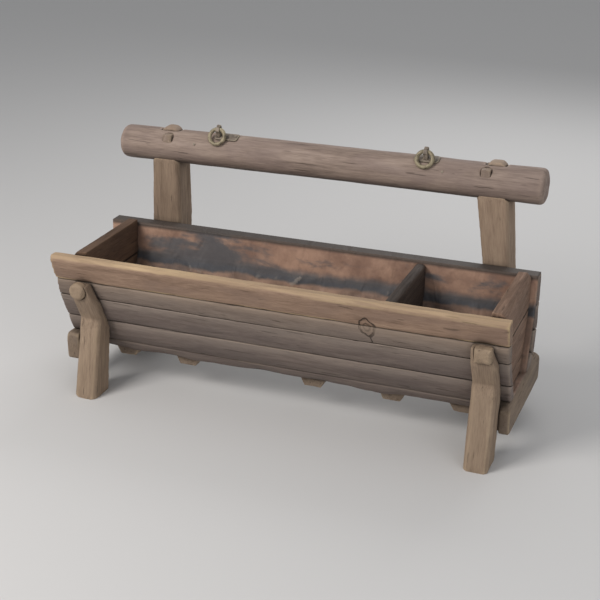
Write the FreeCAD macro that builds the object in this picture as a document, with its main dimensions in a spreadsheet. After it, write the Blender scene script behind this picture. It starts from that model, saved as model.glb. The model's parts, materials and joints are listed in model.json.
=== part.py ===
import FreeCAD, Part
import math
import os
import re
import Sketcher

# Timber feed trough with a sheet-metal liner and a tie rail on two rear posts.
# Millimetres. X runs along the trough, +Y to the back, +Z up, the ground is Z = 0.
# Every Y and Z below is measured from the middle of the trough; the whole part is then
# moved by centre_shift so that its origin is under the middle of its bounding box.

OUT_DIR = "parts"

DIMENSIONS = [
    ("centre_shift", -31, "moves the trough's middle to the part's frame"),
    ("plank_length", 1400, "side planks, end to end"),
    ("seam_chamfer", 2.5, "bevel on the outer edges of the planks"),
    ("rim_chamfer", 12, "worn top edge of the front wall"),
    # Table of offsets: the seams of the front wall, outer and inner face, top to bottom.
    ("front_out_y_a", -206, ""), ("front_out_z_a", 440, ""),
    ("front_out_y_b", -190, ""), ("front_out_z_b", 365, ""),
    ("front_out_y_c", -179, ""), ("front_out_z_c", 311, ""),
    ("front_out_y_d", -140, ""), ("front_out_z_d", 227, ""),
    ("front_out_y_e", -101, ""), ("front_out_z_e", 143, ""),
    ("front_out_y_f", -80, ""), ("front_out_z_f", 108, ""),
    ("front_in_y_a", -166.5, ""), ("front_in_z_a", 440, ""),
    ("front_in_y_b", -150, ""), ("front_in_z_b", 362, ""),
    ("front_in_y_c", -140, ""), ("front_in_z_c", 300, ""),
    ("front_in_y_d", -101, ""), ("front_in_z_d", 212, ""),
    ("front_in_y_e", -78.5, ""), ("front_in_z_e", 165, ""),
    # The same for the back wall.
    ("back_out_y_a", 207.5, ""), ("back_out_z_a", 437, ""),
    ("back_out_y_b", 207.5, ""), ("back_out_z_b", 348, ""),
    ("back_out_y_c", 200, ""), ("back_out_z_c", 264, ""),
    ("back_out_y_d", 172, ""), ("back_out_z_d", 184, ""),
    ("back_out_y_e", 80, ""), ("back_out_z_e", 108, ""),
    ("back_in_y_a", 168, ""), ("back_in_z_a", 437, ""),
    ("back_in_y_b", 168, ""), ("back_in_z_b", 348, ""),
    ("back_in_y_c", 161, ""), ("back_in_z_c", 272, ""),
    ("back_in_y_d", 146, ""), ("back_in_z_d", 208, ""),
    ("back_in_y_e", 92, ""), ("back_in_z_e", 165, ""),
    # Sole timbers, between the two walls and between the two sills.
    ("sole_length", 1323, ""),
    ("sole_seam_y_a", -36, "chine timber to first sole board"),
    ("sole_seam_y_b", 26, "first to second sole board"),
    # Sheet-metal liner.
    ("sheet", 2, "thickness of the liner"),
    ("liner_length", 1396, ""),
    ("liner_front_y", -160.1, ""), ("liner_front_z", 410, "top edge behind the front wall"),
    ("liner_floor_y", 88, "foot of the liner's back panel"),
    ("liner_knee_y", 163, ""), ("liner_knee_z", 345, "fold in the back panel"),
    ("liner_lip", 22, "part folded down behind the back wall"),
    ("board_play", 0.5, "between the liner and the boards inside it"),
    # End walls and divider, boards across the trough.
    ("left_end_x", -627.5, "middle of the left end wall"),
    ("left_end_thickness", 43, ""),
    ("right_end_x", 660, "middle of the right end wall"),
    ("right_end_thickness", 41, ""),
    ("end_seam_low_z", 215, ""),
    ("end_seam_high_z", 340, ""),
    ("end_top_z", 450, ""),
    ("end_chamfer", 13, "bevel along the outer top edge"),
    ("divider_x", 346, ""),
    ("divider_thickness", 32, ""),
    ("divider_top_z", 432, ""),
    ("divider_chamfer", 7, ""),
    # Sills under the two ends and bearers under the sole.
    ("sill_inner_x", 662, ""),
    ("sill_outer_x", 707, ""),
    ("sill_front_y", -150, ""), ("sill_back_y", 252, ""),
    ("sill_bottom_z", 76, ""), ("sill_top_z", 165, ""),
    ("sill_round", 10, "rounding of the sill ends"),
    ("sill_notch", 12, "across the right sill's inner corner, behind the leg"),
    ("sill_notch_back_y", -128, ""),
    ("sill_nose_z", 150, "top of the right sill's front end"),
    ("sill_nose_y", -112, "where the slope from its front end reaches the full height"),
    ("sill_bevel", 16, "on the right sill's outer top edge"),
    ("bearer_top_width", 82, ""), ("bearer_bottom_width", 53, ""),
    ("bearer_bottom_z", 78, ""), ("bearer_reach", 62, "half length along Y"),
    # Front legs, bent timbers.
    ("leg_width", 72, ""), ("leg_chamfer", 9, ""),
    ("arm_depth", 42, "arm, in front of the wall"),
    ("knee_y", -187, ""), ("knee_z", 243, ""),
    ("foot_front_y", -250, ""), ("foot_back_y", -158, ""),
    ("leg_back_y", -128, ""), ("leg_back_z", 200, "where the leg leaves the wall"),
    ("arm_top_y", -190.2, ""), ("arm_top_z", 366, "on the front wall's outer face"),
    ("arm_taper", 20, "narrowing of the arm's right side at its top"), ("arm_taper_z", 300, ""),
    ("left_leg_x", -596, ""), ("right_leg_x", 637, ""),
    # Pegs that hold the legs to the front wall; their heads sit in housings in the arms.
    ("left_leg_peg_x", -606, ""), ("right_leg_peg_x", 638, ""),
    ("leg_peg_seat_y", -212, ""), ("leg_peg_z", 348, ""), ("leg_peg_radius", 8, ""),
    ("leg_peg_reach", 50, "shank, behind the seat"), ("leg_peg_head", 28, "height of the head"),
    ("round_head_radius", 26, ""), ("square_head_width", 49, ""), ("square_head_height", 44, ""),
    # Rear posts.
    ("post_width", 84, ""), ("post_depth", 98, ""), ("post_chamfer", 9, ""),
    ("post_front_y", 210, ""), ("post_top_z", 652, ""),
    ("post_lean", 0.072, "sideways lean, per millimetre of height"),
    ("post_bend_z", 450, "below it the posts keep their width"),
    ("left_post_top_flare", 7, ""), ("right_post_top_flare", 13, "to the left, under the rail"),
    ("left_post_foot_flare", 17, "to the right, up to the bend"),
    ("left_post_x", -566.7, "at the ground"), ("right_post_x", 591.7, "at the ground"),
    ("tenon_width", 62, ""), ("tenon_depth", 40, ""), ("tenon_setback", 27, ""),
    ("tenon_foot_z", 628, ""), ("tenon_top_z", 746, ""), ("tenon_round", 24, ""),
    ("post_peg_z", 392, ""), ("post_peg_radius", 13, ""), ("post_peg_length", 138, ""),
    ("post_peg_proud", 4, ""),
    # Tie rail, a round log.
    ("rail_radius", 53, ""), ("rail_left_x", -678, ""), ("rail_right_x", 688, ""),
    ("rail_y", 250, ""), ("rail_z", 685.5, ""), ("rail_round", 15, ""),
    ("rail_peg_size", 28, ""), ("rail_peg_z", 716, ""), ("rail_peg_start_y", 203, ""),
    ("rail_peg_length", 82, ""), ("left_rail_peg_x", -508, ""), ("right_rail_peg_x", 517, ""),
    # Tie rings: each hangs from a pointed eye that stands on a curved plate on the rail.
    ("left_ring_x", -339, ""), ("right_ring_x", 331, ""),
    ("left_plate_x", -313.5, ""), ("right_plate_x", 332.5, ""),
    ("eye_tilt", 17.3, "degrees in front of the rail's top"),
    ("hinge_height", 78.5, "ring hinge above the rail's axis"),
    ("plate_thickness", 4, ""), ("plate_length", 77, ""), ("plate_angle", 38, "degrees"),
    ("plate_corner", 9, ""),
    ("eye_half_width", 13, ""), ("eye_crown", 11, "tip above the hinge"), ("eye_bore", 7.5, ""),
    ("eye_tip_back", 9, "tip behind the hinge"),
    ("eye_thickness", 13, ""), ("shank_radius", 4.5, ""), ("shank_length", 40, ""),
    ("ring_radius", 24.5, "to the middle of the wire"), ("ring_wire", 6, "radius of the wire"),
    ("ring_lean", 31.8, "degrees in front of straight down"),
    # Two nails left in the rail.
    ("nail_angle", 62, "degrees in front of the rail's top"),
    ("nail_head_radius", 4, ""), ("nail_radius", 2, ""), ("nail_length", 30, ""),
    ("left_nail_x", -414, ""), ("right_nail_x", 388, ""),
]

FRONT_SEAMS = "abcde"
BEARER_POSITIONS = (-539, -330, 86, 335, 548)
ALIASES = {alias for alias, value, note in DIMENSIONS}
ABOUT_X = FreeCAD.Rotation(FreeCAD.Vector(1, 0, 0), 1)

doc = FreeCAD.newDocument("feed_trough")
sheet = doc.addObject("Spreadsheet::Sheet", "Dims")
subparts = []


def fill_sheet():
    for row, (alias, value, note) in enumerate(DIMENSIONS, start=1):
        sheet.set(f"A{row}", alias)
        sheet.set(f"B{row}", str(value))
        sheet.set(f"C{row}", note)
        sheet.setAlias(f"B{row}", alias)
    doc.recompute()


def dim(alias):
    return float(sheet.get(alias))


def linked(formula):
    """The formula with each dimension's name pointed at its cell."""
    return re.sub(r"[a-z_]{3,}", lambda m: f"Dims.{m[0]}" if m[0] in ALIASES else m[0], formula)


def bind(thing, **formulas):
    """Bind properties of a document object to formulas; __ in a name stands for a dot."""
    for name, formula in formulas.items():
        thing.setExpression(name.replace("__", "."), linked(formula))


def place(thing, x="0", y="0", z="0", tilt=None):
    """Place a piece at x, y, z from the trough's middle, turned by tilt degrees about X."""
    if tilt:
        thing.Placement = FreeCAD.Placement(thing.Placement.Base, ABOUT_X)
        bind(thing, Placement__Rotation__Angle=tilt)
    bind(thing, Placement__Base__x=x, Placement__Base__y=f"centre_shift + {y}", Placement__Base__z=z)


def export(thing, name):
    thing.Label = name
    subparts.append(thing)
    return thing


def new_body(name, **where):
    body = doc.addObject("PartDesign::Body", name)
    place(body, **where)
    return export(body, name)


def origin_plane(body, role):
    return next(item for item in body.Origin.OriginFeatures if item.Role == role)


def new_sketch(body, role, offset=None):
    """An empty sketch on one of the body's origin planes, moved along the plane's normal."""
    sketch = body.newObject("Sketcher::SketchObject", f"{body.Name}_sketch")
    sketch.AttachmentSupport = [(origin_plane(body, role), "")]
    sketch.MapMode = "FlatFace"
    if offset:
        bind(sketch, AttachmentOffset__Base__z=offset)
    return sketch


def constrain(sketch, formula, kind, *where):
    index = sketch.addConstraint(Sketcher.Constraint(kind, *where, 1.0))
    sketch.setExpression(f"Constraints[{index}]", linked(formula))


def polygon(body, role, corners, offset=None):
    """A closed outline whose corners are pairs of formulas, each bound to the sheet."""
    sketch = new_sketch(body, role, offset)
    count = len(corners)
    rough = [FreeCAD.Vector(math.cos(2 * math.pi * k / count), math.sin(2 * math.pi * k / count), 0)
             for k in range(count)]
    for k in range(count):
        sketch.addGeometry(Part.LineSegment(rough[k], rough[(k + 1) % count]))
    for k, (across, up) in enumerate(corners):
        sketch.addConstraint(Sketcher.Constraint("Coincident", k, 2, (k + 1) % count, 1))
        constrain(sketch, across, "DistanceX", -1, 1, k, 1)
        constrain(sketch, up, "DistanceY", -1, 1, k, 1)
    return sketch


def rectangle(body, role, low, high, offset=None):
    corners = [(low[0], low[1]), (high[0], low[1]), (high[0], high[1]), (low[0], high[1])]
    return polygon(body, role, corners, offset)


def circle(body, role, radius, centre=("0", "0"), offset=None):
    sketch = new_sketch(body, role, offset)
    sketch.addGeometry(Part.Circle(FreeCAD.Vector(1, 1, 0), FreeCAD.Vector(0, 0, 1), 1))
    constrain(sketch, radius, "Radius", 0)
    constrain(sketch, centre[0], "DistanceX", -1, 1, 0, 3)
    constrain(sketch, centre[1], "DistanceY", -1, 1, 0, 3)
    return sketch


def pad(body, sketch, length, midplane=False, back=False):
    """Pad the sketch; back turns the pad against the sketch plane's normal."""
    feature = body.newObject("PartDesign::Pad", f"{body.Name}_pad")
    feature.Profile = sketch
    feature.SideType = "Symmetric" if midplane else "One side"
    feature.Reversed = back
    bind(feature, Length=length)
    doc.recompute()


def cut(body, sketch, depth=None):
    """Cut the sketch through the body both ways, or to a depth against the plane's normal."""
    before = body.Shape.Volume
    feature = body.newObject("PartDesign::Pocket", f"{body.Name}_pocket")
    feature.Profile = sketch
    feature.Type = "Length" if depth else "ThroughAll"
    feature.SideType = "One side" if depth else "Symmetric"
    if depth:
        bind(feature, Length=depth)
    doc.recompute()
    if body.Shape.Volume > before - 1:
        raise RuntimeError(f"{body.Label}: a pocket removed nothing")


def dress(body, kind, size, choose):
    """Fillet or chamfer the edges of the body's last feature for which choose(edge) is true."""
    base = body.Tip
    edges = [f"Edge{i}" for i, edge in enumerate(base.Shape.Edges, start=1) if choose(edge)]
    if not edges:
        raise RuntimeError(f"{body.Label}: no edges to dress")
    feature = body.newObject(f"PartDesign::{kind}", f"{body.Name}_{kind.lower()}")
    feature.Base = (base, edges)
    bind(feature, **{"Radius" if kind == "Fillet" else "Size": size})
    doc.recompute()


def near(value, target):
    return abs(value - target) < 0.01


def spans(edge, axis):
    """True for an edge that is parallel to the axis X, Y or Z."""
    box = edge.BoundBox
    lengths = {"X": box.XLength, "Y": box.YLength, "Z": box.ZLength}
    along = lengths.pop(axis)
    return along > 1 and max(lengths.values()) < 0.01


def front(face, seam):
    return (f"front_{face}_y_{seam}", f"front_{face}_z_{seam}")


def back(face, seam):
    return (f"back_{face}_y_{seam}", f"back_{face}_z_{seam}")


# ---------------------------------------------------------------- the trough's timber shell

def plank(name, corners, length="plank_length", top_bevel="seam_chamfer"):
    """A straight timber along X; its first two corners are its outer face, with bevelled edges."""
    body = new_body(name)
    pad(body, polygon(body, "YZ_Plane", corners), length, midplane=True)
    for (across, up), bevel in zip(corners[:2], (top_bevel, "seam_chamfer")):
        y = dim(across)
        z = dim(up)
        dress(body, "Chamfer", bevel, lambda edge: spans(edge, "X") and near(edge.CenterOfMass.y, y)
              and near(edge.CenterOfMass.z, z))
    return body


def notch_over_sills(body):
    for inner, outer in (("sill_inner_x - 0.5", "sill_outer_x"), ("-sill_outer_x", "0.5 - sill_inner_x")):
        low = (inner, "sill_bottom_z")
        high = (outer, "sill_top_z")
        cut(body, rectangle(body, "XZ_Plane", low, high))


def front_wall():
    """Five courses that lean out towards the rim; the last is the chine timber."""
    names = ("front_rim_plank", "front_plank_2", "front_plank_3", "front_plank_4")
    walls = []
    for name, top, bottom in zip(names, FRONT_SEAMS, FRONT_SEAMS[1:]):
        corners = [front("out", top), front("out", bottom), front("in", bottom), front("in", top)]
        top_bevel = "rim_chamfer" if top == "a" else "seam_chamfer"
        walls.append(plank(name, corners, top_bevel=top_bevel))
    notch_over_sills(walls[3])
    chine = [front("out", "e"), front("out", "f"), ("sole_seam_y_a", "front_out_z_f"),
             ("sole_seam_y_a", "front_in_z_e"), front("in", "e")]
    plank("front_plank_5", chine, "sole_length")
    return walls


def back_wall():
    names = ("back_rim_plank", "back_plank_2", "back_plank_3", "back_plank_4")
    walls = []
    for name, top, bottom in zip(names, FRONT_SEAMS, FRONT_SEAMS[1:]):
        corners = [back("out", top), back("out", bottom), back("in", bottom), back("in", top)]
        walls.append(plank(name, corners))
    notch_over_sills(walls[3])
    return walls


def sole():
    left = [("sole_seam_y_a", "front_out_z_f"), ("sole_seam_y_b", "front_out_z_f"),
            ("sole_seam_y_b", "front_in_z_e"), ("sole_seam_y_a", "front_in_z_e")]
    right = [("sole_seam_y_b", "front_out_z_f"), back("out", "e"), back("in", "e"),
             ("sole_seam_y_b", "back_in_z_e")]
    plank("sole_board_1", left, "sole_length")
    plank("sole_board_2", right, "sole_length")


# ------------------------------------------------------------- liner, end walls and divider

def inside_corners(gap):
    """The trough's inside, gap away from the timber and from the liner's free back panel."""
    walls = [(f"front_in_y_{s} + {gap}", f"front_in_z_{s}") for s in "bcd"]
    floor = [(f"front_in_y_e + {gap}", f"front_in_z_e + {gap}"),
             (f"liner_floor_y - {gap}", f"front_in_z_e + {gap}")]
    return walls + floor + [(f"liner_knee_y - {gap}", "liner_knee_z")]


def trough_liner():
    """One folded sheet: front panel, floor, sloped back panel, and a lip over the back wall."""
    timber_side = [("liner_front_y", "liner_front_z")] + inside_corners("0")
    timber_side += [back("in", "a"), back("out", "a"), ("back_out_y_a", "back_out_z_a - liner_lip")]
    air_side = [("liner_front_y + sheet", "liner_front_z")] + inside_corners("sheet")
    air_side += [("back_in_y_a - sheet", "back_in_z_a + sheet"),
                 ("back_out_y_a + sheet", "back_out_z_a + sheet"),
                 ("back_out_y_a + sheet", "back_out_z_a - liner_lip")]
    body = new_body("trough_liner")
    pad(body, polygon(body, "YZ_Plane", timber_side + air_side[::-1]), "liner_length", midplane=True)


def inside_space():
    """The room inside the liner, a helper that the boards across the trough are cut from."""
    gap = "(sheet + board_play)"
    top = "end_top_z + board_play"
    corners = [(f"front_in_y_a + {gap}", top), (f"front_in_y_a + {gap}", "front_in_z_a")]
    corners += inside_corners(gap)
    corners += [(f"back_in_y_a - {gap}", "back_in_z_a"), (f"back_in_y_a - {gap}", top)]
    body = doc.addObject("PartDesign::Body", "inside_space")
    place(body)
    pad(body, polygon(body, "YZ_Plane", corners), "plank_length", midplane=True)
    return body


def cross_board(name, inside, middle, thickness, low, high, bevel=None, sides=()):
    """A board across the trough between two heights, with its top edges bevelled on some sides."""
    block = doc.addObject("Part::Box", f"block_for_{name}")
    reach = dim("post_front_y")
    block.Width = 2 * reach
    bind(block, Length=thickness, Height=f"{high} - ({low})")
    place(block, x=f"{middle} - {thickness} / 2", y=f"(0 - {reach})", z=low)
    board = doc.addObject("Part::Common", f"square_{name}" if bevel else name)
    board.Base = block
    board.Tool = inside
    doc.recompute()
    if not bevel:
        export(board, name)
        return
    faces = [dim(middle) + side * dim(thickness) / 2 for side in sides]
    chosen = [index for index, edge in enumerate(board.Shape.Edges, start=1)
              if spans(edge, "Y") and near(edge.BoundBox.ZMax, dim(high))
              and any(near(edge.CenterOfMass.x, x) for x in faces)]
    size = dim(bevel)
    bevelled = doc.addObject("Part::Chamfer", name)
    bevelled.Base = board
    bevelled.Edges = [(index, size, size) for index in chosen]
    doc.recompute()
    export(bevelled, name)


def cross_boards(inside):
    floor = "front_in_z_e"
    for side, outward in (("left", -1), ("right", 1)):
        middle = f"{side}_end_x"
        thickness = f"{side}_end_thickness"
        cross_board(f"{side}_end_board_1", inside, middle, thickness, floor, "end_seam_low_z")
        cross_board(f"{side}_end_board_2", inside, middle, thickness, "end_seam_low_z", "end_seam_high_z")
        cross_board(f"{side}_end_board_3", inside, middle, thickness, "end_seam_high_z", "end_top_z",
                    "end_chamfer", (outward,))
    cross_board("divider_board", inside, "divider_x", "divider_thickness", floor, "divider_top_z",
                "divider_chamfer", (-1, 1))


# ------------------------------------------------------------------------ sills and bearers

def sill(name, low_x, high_x):
    """A cross timber under one end; its ends are rounded in side view."""
    body = new_body(name, x=low_x)
    outline = rectangle(body, "YZ_Plane", ("sill_front_y", "sill_bottom_z"), ("sill_back_y", "sill_top_z"))
    pad(body, outline, f"{high_x} - ({low_x})")
    ends = (dim("sill_front_y"), dim("sill_back_y"))

    def on_end(edge):
        return spans(edge, "X") and any(near(edge.CenterOfMass.y, y) for y in ends)

    dress(body, "Fillet", "sill_round", on_end)
    return body


def bearer(number, x):
    """A short cross batten under the sole, narrower below."""
    body = new_body(f"bearer_{number}", x=str(x))
    corners = [("-bearer_top_width / 2", "front_out_z_f"), ("-bearer_bottom_width / 2", "bearer_bottom_z"),
               ("bearer_bottom_width / 2", "bearer_bottom_z"), ("bearer_top_width / 2", "front_out_z_f")]
    pad(body, polygon(body, "XZ_Plane", corners), "2 * bearer_reach", midplane=True)


# ------------------------------------------------------------------- front legs and their pegs

def front_leg(side, head):
    """A naturally bent timber: its arm lies on the front wall and its foot stands out forward."""
    body = new_body(f"{side}_front_leg", x=f"{side}_leg_x")
    arm = [("arm_top_y - arm_depth", "arm_top_z"), ("front_out_y_c - arm_depth", "front_out_z_c")]
    shin = [("knee_y", "knee_z"), ("foot_front_y", "0"), ("foot_back_y", "0"), ("leg_back_y", "leg_back_z")]
    wall = [front("out", seam) for seam in "dcb"] + [("arm_top_y", "arm_top_z")]
    pad(body, polygon(body, "YZ_Plane", arm + shin + wall), "leg_width", midplane=True)
    half = dim("leg_width") / 2
    outline = [(dim("arm_top_y") - dim("arm_depth"), dim("arm_top_z")),
               (dim("front_out_y_c") - dim("arm_depth"), dim("front_out_z_c")),
               (dim("knee_y"), dim("knee_z")), (dim("foot_front_y"), 0)]
    middles = [((y + next_y) / 2, (z + next_z) / 2)
               for (y, z), (next_y, next_z) in zip(outline, outline[1:])]

    def on_front_arris(edge):
        centre = edge.CenterOfMass
        on_side = near(abs(centre.x), half)
        return on_side and any(near(centre.y, y) and near(centre.z, z) for y, z in middles)

    dress(body, "Chamfer", "leg_chamfer", on_front_arris)
    taper = [("leg_width / 2 + 1", "arm_taper_z"), ("leg_width / 2 + 1", "arm_top_z + 1"),
             ("leg_width / 2 - arm_taper", "arm_top_z + 1")]
    cut(body, polygon(body, "XZ_Plane", taper))
    peg = f"{side}_leg_peg_x - {side}_leg_x"
    cut(body, circle(body, "XZ_Plane", "leg_peg_radius", (peg, "leg_peg_z")))
    housing = head(body, (peg, "leg_peg_z"), offset="2 * leg_peg_head - leg_peg_seat_y")
    cut(body, housing, "2 * leg_peg_head")


def leg_peg(side, head):
    """A headed peg; the head's outline is given, the shank is round."""
    body = new_body(f"{side}_leg_peg", x=f"{side}_leg_peg_x", y="leg_peg_seat_y", z="leg_peg_z")
    pad(body, head(body), "leg_peg_head")
    rim = -dim("leg_peg_head")
    dress(body, "Chamfer", "leg_peg_head / 4", lambda edge: near(edge.CenterOfMass.y, rim))
    pad(body, circle(body, "XZ_Plane", "leg_peg_radius"), "leg_peg_reach", back=True)


def round_head(body, centre=("0", "0"), offset=None):
    return circle(body, "XZ_Plane", "round_head_radius", centre, offset)


def square_head(body, centre=("0", "0"), offset=None):
    x, z = centre
    low = (f"{x} - square_head_width / 2", f"{z} - square_head_height / 2")
    high = (f"{x} + square_head_width / 2", f"{z} + square_head_height / 2")
    return rectangle(body, "XZ_Plane", low, high, offset)


# --------------------------------------------------------------- rear posts, rail and their pegs

def leaning(side, width, low, high):
    """The outline, seen from the front, of a post's stretch between two heights."""
    toward = "+" if side == "left" else "-"
    return [(f"{end} {width} / 2 {toward} post_lean * {level}", level)
            for end, level in (("-", low), ("+", low), ("+", high), ("-", high))]


def rear_post(side):
    """A post that leans inwards and widens towards the rail, with a tenon through the rail."""
    body = new_body(f"{side}_rear_post", x=f"{side}_post_x", y="post_front_y")
    left_foot, right_foot, right_top, left_top = leaning(side, "post_width", "0", "post_top_z")
    left_bend, right_bend = leaning(side, "post_width", "post_bend_z", "post_top_z")[:2]
    wider_left = (f"{left_top[0]} - {side}_post_top_flare", left_top[1])
    if side == "left":
        right_foot = (f"{right_foot[0]} + left_post_foot_flare", right_foot[1])
        right_bend = (f"{right_bend[0]} + left_post_foot_flare", right_bend[1])
        outline = [left_foot, right_foot, right_bend, right_top, wider_left, left_bend]
    else:
        outline = [left_foot, right_foot, right_top, wider_left, left_bend]
    pad(body, polygon(body, "XZ_Plane", outline), "post_depth", back=True)

    def on_arris(edge):
        return edge.BoundBox.ZLength > 100

    dress(body, "Chamfer", "post_chamfer", on_arris)
    cut(body, circle(body, "YZ_Plane", "rail_radius", ("rail_y - post_front_y", "rail_z")))
    tenon = polygon(body, "XZ_Plane", leaning(side, "tenon_width", "tenon_foot_z", "tenon_top_z"),
                    offset="-tenon_setback")
    pad(body, tenon, "tenon_depth", back=True)
    top = dim("tenon_top_z")

    def on_tenon_top(edge):
        return spans(edge, "Y") and near(edge.CenterOfMass.z, top)

    dress(body, "Fillet", "tenon_round", on_tenon_top)
    middle = f"{'-' if side == 'right' else ''}post_lean * post_peg_z"
    cut(body, circle(body, "XZ_Plane", "post_peg_radius", (middle, "post_peg_z")))
    peg = f"{side}_rail_peg_x - {side}_post_x"
    cut(body, rectangle(body, "XZ_Plane", (f"{peg} - rail_peg_size / 2", "rail_peg_z - rail_peg_size / 2"),
                        (f"{peg} + rail_peg_size / 2", "rail_peg_z + rail_peg_size / 2")))


def post_peg_middle(side):
    return f"{side}_post_x {'+' if side == 'left' else '-'} post_lean * post_peg_z"


def post_peg(side):
    """A round peg through the post into the back wall, with its end left a little proud."""
    body = new_body(f"{side}_post_peg", x=post_peg_middle(side),
                    y="post_front_y + post_depth + post_peg_proud", z="post_peg_z")
    pad(body, circle(body, "XZ_Plane", "post_peg_radius"), "post_peg_length")
    dress(body, "Chamfer", "post_peg_proud / 2", lambda edge: near(edge.CenterOfMass.y, 0))


def rail_hole(body, x, angle, radius, depth):
    """A round hole square to the rail's surface, angle degrees in front of its top."""
    hole = circle(body, "XY_Plane", radius, (x, "0"))
    hole.AttachmentOffset = FreeCAD.Placement(FreeCAD.Vector(0, 0, 0), ABOUT_X)
    bind(hole, AttachmentOffset__Rotation__Angle=angle,
         AttachmentOffset__Base__y=f"(0 - rail_radius) * sin({angle} * 1 deg)",
         AttachmentOffset__Base__z=f"rail_radius * cos({angle} * 1 deg)")
    cut(body, hole, depth)


def tie_rail():
    """A round log on the two posts, mortised for their tenons, pegs, eyes and nails."""
    body = new_body("tie_rail", y="rail_y", z="rail_z")
    log = circle(body, "YZ_Plane", "rail_radius", offset="rail_left_x")
    pad(body, log, "rail_right_x - rail_left_x")
    dress(body, "Fillet", "rail_round", lambda edge: edge.BoundBox.XLength < 0.01)
    for side in ("left", "right"):
        outline = [(f"{side}_post_x {across}", f"{level} - rail_z")
                   for across, level in leaning(side, "tenon_width", "tenon_foot_z", "tenon_top_z")]
        mortise = polygon(body, "XZ_Plane", outline, offset="rail_y - post_front_y - tenon_setback")
        cut(body, mortise, "tenon_depth")
        low = (f"{side}_rail_peg_x - rail_peg_size / 2", "rail_peg_z - rail_z - rail_peg_size / 2")
        high = (f"{side}_rail_peg_x + rail_peg_size / 2", "rail_peg_z - rail_z + rail_peg_size / 2")
        peg_slot = rectangle(body, "XZ_Plane", low, high, offset="rail_y - rail_peg_start_y")
        cut(body, peg_slot, "rail_peg_length")
        rail_hole(body, f"{side}_ring_x", "eye_tilt", "shank_radius", "shank_length - plate_thickness")
        rail_hole(body, f"{side}_nail_x", "nail_angle", "nail_radius", "nail_length")


def rail_peg(side):
    """A square draw peg, from the rail's front through the tenon."""
    body = new_body(f"{side}_rail_peg", x=f"{side}_rail_peg_x", y="rail_peg_start_y", z="rail_peg_z")
    half = "rail_peg_size / 2"
    outline = rectangle(body, "XZ_Plane", (f"-{half}", f"-{half}"), (half, half))
    pad(body, outline, "rail_peg_length", back=True)


# ------------------------------------------------------------------ tie rings and rail nails

def ring_plate(side):
    """A plate bent round the rail's top, with rounded corners and a hole for the eye's shank."""
    body = new_body(f"{side}_ring_plate", x=f"{side}_plate_x", y="rail_y", z="rail_z", tilt="eye_tilt")
    section = rectangle(body, "XZ_Plane", ("-plate_length / 2", "rail_radius"),
                        ("plate_length / 2", "rail_radius + plate_thickness"))
    sweep = body.newObject("PartDesign::Revolution", f"{side}_plate_sweep")
    sweep.Profile = section
    sweep.ReferenceAxis = (section, ["H_Axis"])
    sweep.Midplane = True
    bind(sweep, Angle="plate_angle")
    doc.recompute()
    thickness = dim("plate_thickness")
    dress(body, "Fillet", "plate_corner",
          lambda edge: edge.Curve.TypeId == "Part::GeomLine" and near(edge.Length, thickness))
    hole = circle(body, "XY_Plane", "shank_radius", (f"{side}_ring_x - {side}_plate_x", "0"))
    cut(body, hole)


def ring_eye(side):
    """A pointed forged eye on a round shank that is driven into the rail."""
    body = new_body(f"{side}_ring_eye", x=f"{side}_ring_x", y="rail_y", z="rail_z", tilt="eye_tilt")
    foot = "rail_radius + plate_thickness"
    back_edge = [("eye_half_width", foot), ("eye_half_width", "hinge_height + eye_crown / 3")]
    tip = [("eye_tip_back", "hinge_height + eye_crown")]
    front_edge = [("-eye_half_width / 3", "hinge_height + eye_crown * 0.7"),
                  ("-eye_half_width", "hinge_height"), ("-eye_half_width", foot)]
    pad(body, polygon(body, "YZ_Plane", back_edge + tip + front_edge), "eye_thickness", midplane=True)
    cut(body, circle(body, "YZ_Plane", "eye_bore", ("0", "hinge_height")))
    shank = circle(body, "XY_Plane", "shank_radius", offset=foot)
    pad(body, shank, "shank_length", back=True)


def tie_ring(side):
    """A round-wire ring whose own wire is the hinge pin in the eye."""
    ring = doc.addObject("Part::Torus", f"{side}_tie_ring")
    bind(ring, Radius1="ring_radius", Radius2="ring_wire")
    place(ring, x=f"{side}_ring_x",
          y="rail_y - hinge_height * sin(eye_tilt * 1 deg) - ring_radius * sin(ring_lean * 1 deg)",
          z="rail_z + hinge_height * cos(eye_tilt * 1 deg) - ring_radius * cos(ring_lean * 1 deg)",
          tilt="90 - ring_lean")
    export(ring, f"{side}_tie_ring")


def nail(side):
    """A round nail square to the rail, its head on the rail's surface."""
    head = doc.addObject("Part::Cylinder", f"{side}_nail_head")
    bind(head, Radius="nail_head_radius", Height="nail_head_radius / 2")
    head.Placement.Base.z = dim("rail_radius")
    shank = doc.addObject("Part::Cylinder", f"{side}_nail_shank")
    bind(shank, Radius="nail_radius", Height="nail_length", Placement__Base__z="rail_radius - nail_length")
    whole = doc.addObject("Part::Fuse", f"{side}_nail")
    whole.Base = head
    whole.Tool = shank
    place(whole, x=f"{side}_nail_x", y="rail_y", z="rail_z", tilt="nail_angle")
    return whole


def rail_nails():
    group = doc.addObject("Part::Compound", "rail_nails")
    group.Links = [nail("left"), nail("right")]
    export(group, "rail_nails")


# --------------------------------------------------------------------------------- assembly

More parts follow.
